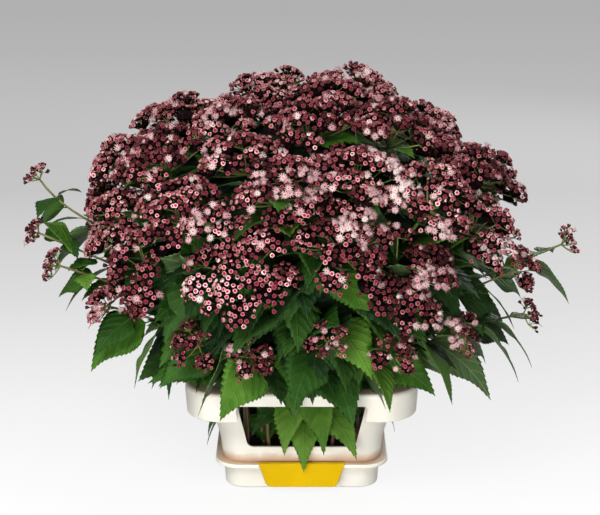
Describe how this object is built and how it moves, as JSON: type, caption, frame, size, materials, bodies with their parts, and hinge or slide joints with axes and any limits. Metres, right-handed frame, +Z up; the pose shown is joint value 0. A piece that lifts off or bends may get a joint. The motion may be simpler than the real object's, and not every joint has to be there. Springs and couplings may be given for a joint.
{
  "type": "potted flowering plant",
  "caption": "Dense dome of pink flower heads on leafy stems, rooted in a low tray of soil inside a white square collar with a window in each side.",
  "frame": {"origin": "centre of the tray's flat underside", "axes": "+Z up, -Y towards the side with the label card, +X to the right seen from that side"},
  "size_m": [0.6927, 0.5063, 0.5091],
  "materials": {
    "collar_plastic": "moulded plastic, warm white, slightly scuffed",
    "tray_plastic": "moulded plastic, warm white, brownish at the rim",
    "label_yellow": "smooth card, yellow, bare",
    "soil_peat": "dark moist peat, crumbly",
    "flower_pink": "soft florets, pale pink rims round crimson middles",
    "leaf_green": "living leaves, slight wax sheen, veined"
  },
  "bodies": {
    "root": {"tray": "tray_plastic", "collar": "collar_plastic", "label_card": "label_yellow", "soil": "soil_peat", "flower_head_01": "flower_pink", "flower_head_02": "flower_pink", "flower_head_03": "flower_pink", "flower_head_04": "flower_pink", "flower_head_05": "flower_pink", "flower_head_06": "flower_pink", "flower_head_07": "flower_pink", "flower_head_08": "flower_pink", "flower_head_09": "flower_pink", "flower_head_10": "flower_pink", "flower_head_11": "flower_pink", "flower_head_12": "flower_pink", "flower_head_13": "flower_pink", "flower_head_14": "flower_pink", "flower_head_15": "flower_pink", "flower_head_16": "flower_pink", "flower_head_17": "flower_pink", "flower_head_18": "flower_pink", "flower_head_19": "flower_pink", "flower_head_20": "flower_pink", "flower_head_21": "flower_pink", "flower_head_22": "flower_pink", "flower_head_23": "flower_pink", "flower_head_24": "flower_pink", "flower_head_25": "flower_pink", "flower_head_26": "flower_pink", "flower_head_27": "flower_pink", "flower_head_28": "flower_pink", "flower_head_29": "flower_pink", "flower_head_30": "flower_pink", "flower_head_31": "flower_pink", "flower_head_32": "flower_pink", "flower_head_33": "flower_pink", "flower_head_34": "flower_pink", "flower_head_35": "flower_pink", "flower_head_36": "flower_pink", "flower_head_37": "flower_pink", "flower_head_38": "flower_pink", "flower_head_39": "flower_pink", "flower_head_40": "flower_pink", "flower_head_41": "flower_pink", "flower_head_42": "flower_pink", "flower_head_43": "flower_pink", "flower_head_44": "flower_pink", "flower_head_45": "flower_pink", "flower_head_46": "flower_pink", "flower_head_47": "flower_pink", "flower_head_48": "flower_pink", "leafy_stem_01": "leaf_green", "leafy_stem_02": "leaf_green", "leafy_stem_03": "leaf_green", "leafy_stem_04": "leaf_green", "leafy_stem_05": "leaf_green", "leafy_stem_06": "leaf_green", "leafy_stem_07": "leaf_green", "leafy_stem_08": "leaf_green"}
  },
  "joints": []
}
